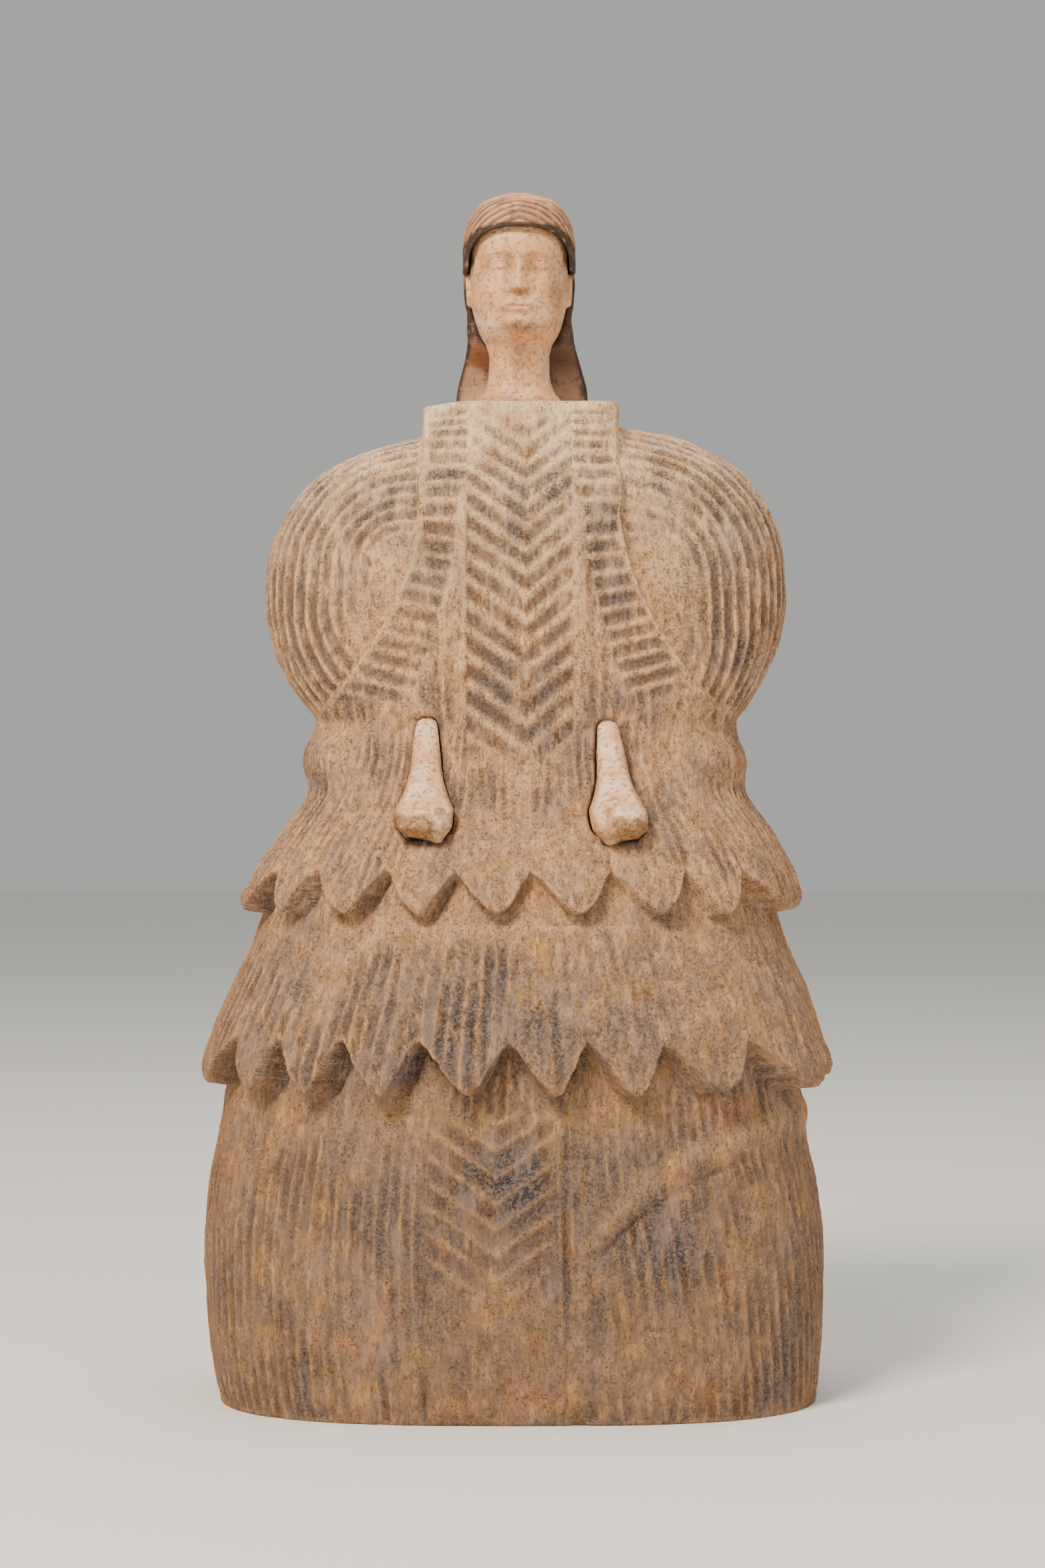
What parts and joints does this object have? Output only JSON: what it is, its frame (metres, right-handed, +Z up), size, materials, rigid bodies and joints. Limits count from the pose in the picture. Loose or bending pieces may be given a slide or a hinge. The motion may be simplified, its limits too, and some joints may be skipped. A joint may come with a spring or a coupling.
{
  "type": "seated stone statuette",
  "caption": "Seated robed figure carved in two stones, with puffed sleeves, scalloped fluted tiers and a separately set pale head, hair and fists.",
  "frame": {"origin": "centre of the bounding box in X and Y, on the plane of the flat base", "axes": "+Z up from the base to the crown of the hair, the figure faces -Y, +X is on the viewer's right when seen from the front"},
  "size_m": [0.1689, 0.1035, 0.32],
  "materials": {
    "brown_stone": "matte",
    "hair_stone": "matte",
    "pale_stone": "satin"
  },
  "bodies": {
    "root": {"robe": "brown_stone", "head": "pale_stone", "hair": "hair_stone", "hand_right": "pale_stone", "hand_left": "pale_stone"}
  },
  "joints": []
}
